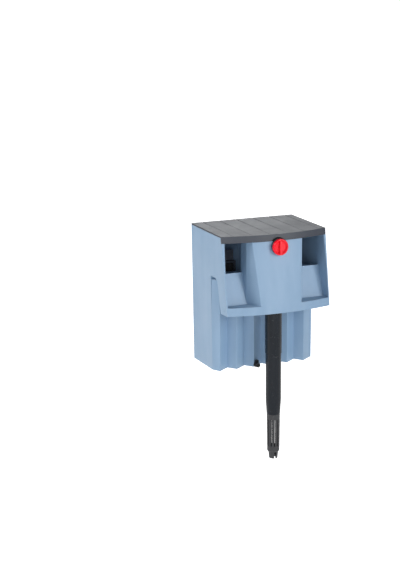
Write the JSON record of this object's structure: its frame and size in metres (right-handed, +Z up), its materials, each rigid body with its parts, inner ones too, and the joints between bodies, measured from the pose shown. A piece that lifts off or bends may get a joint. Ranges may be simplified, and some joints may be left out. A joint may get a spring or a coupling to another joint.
{
  "type": "hang-on-back aquarium filter",
  "caption": "Aquarium filter that hangs on a tank's rim: corrugated case, grooved lid, twin outlet chutes, flow knob and telescopic suction tube.",
  "frame": {"origin": "middle of the rim slot's flat ceiling, where the housing rests on the top edge of the tank's wall", "axes": "+X along the tank's wall, +Y away from the water, +Z up"},
  "size_m": [0.16, 0.1356, 0.3309],
  "materials": {
    "grey_blue_moulding": "smooth satin grey-blue ABS",
    "lid_grey": "fine-textured dark grey ABS",
    "black_moulding": "satin black ABS",
    "red_knob": "glossy red ABS",
    "black_pipe": "glossy extruded black PVC",
    "black_rubber": "soft black rubber",
    "ceramic_shaft": "ground white ceramic",
    "ferrite_magnet": "sintered ferrite, dark grey",
    "white_moulding": "off-white moulded plastic",
    "frame_grey": "dark blue-grey moulded plastic",
    "activated_carbon": "packed black granules",
    "white_fleece": "needled white fleece",
    "filter_sponge": "open-cell dark foam"
  },
  "bodies": {
    "housing": {"housing": "grey_blue_moulding", "regulator_collar": "black_moulding", "regulator_housing": "black_moulding", "crossover_pipe": "black_moulding", "pump_motor": "black_moulding", "pump_cover": "black_moulding", "wheel_bracket": "black_moulding", "suction_tube": "black_pipe", "tube_seal": "black_rubber", "motor_gland": "black_rubber", "cable_grommet": "black_rubber", "cover_seal": "black_rubber", "lower_bush": "black_rubber", "upper_bush": "black_rubber", "impeller_shaft": "ceramic_shaft", "cartridge_frame_left": "frame_grey", "carbon_pack_lower_left": "activated_carbon", "carbon_pack_upper_left": "activated_carbon", "fleece_pad_left": "white_fleece", "sponge_left": "filter_sponge", "cartridge_frame_right": "frame_grey", "carbon_pack_lower_right": "activated_carbon", "carbon_pack_upper_right": "activated_carbon", "fleece_pad_right": "white_fleece", "sponge_right": "filter_sponge"},
    "lid": {"lid": "lid_grey"},
    "regulator": {"flow_knob": "red_knob", "valve_drum": "black_moulding", "spindle_seal": "black_rubber"},
    "extension": {"extension_tube": "black_pipe", "strainer": "black_moulding"},
    "impeller": {"rotor_magnet": "ferrite_magnet", "impeller": "white_moulding"},
    "wheel": {"levelling_wheel": "black_moulding"},
    "screw": {"levelling_screw": "black_moulding", "levelling_pad": "black_rubber"}
  },
  "joints": [
    {"name": "lid_lift", "type": "slide", "parent": "housing", "child": "lid", "axis": [0, 0, 1], "range_m": [0, 0.09]},
    {"name": "regulator_turn", "type": "hinge", "parent": "housing", "child": "regulator", "pos_m": [-0.0007, -0.05, 0.0444], "axis": [0, 1, 0], "range_deg": [0, 90]},
    {"name": "extension_slide", "type": "slide", "parent": "housing", "child": "extension", "axis": [0, 0, 1], "range_m": [0, 0.065]},
    {"name": "impeller_spin", "type": "hinge", "parent": "housing", "child": "impeller", "pos_m": [-0.0007, 0.04, -0.1], "axis": [0, 0, 1], "continuous": true},
    {"name": "wheel_turn", "type": "hinge", "parent": "housing", "child": "wheel", "pos_m": [-0.0145, -0.002, -0.1336], "axis": [0, -1, 0], "range_deg": [0, 720]},
    {"name": "screw_travel", "type": "slide", "parent": "housing", "child": "screw", "axis": [0, -1, 0], "range_m": [0, 0.006]}
  ],
  "couplings": [
    {"joint": "wheel_turn", "follows": "screw_travel", "rad_per_m": 2094.4}
  ]
}
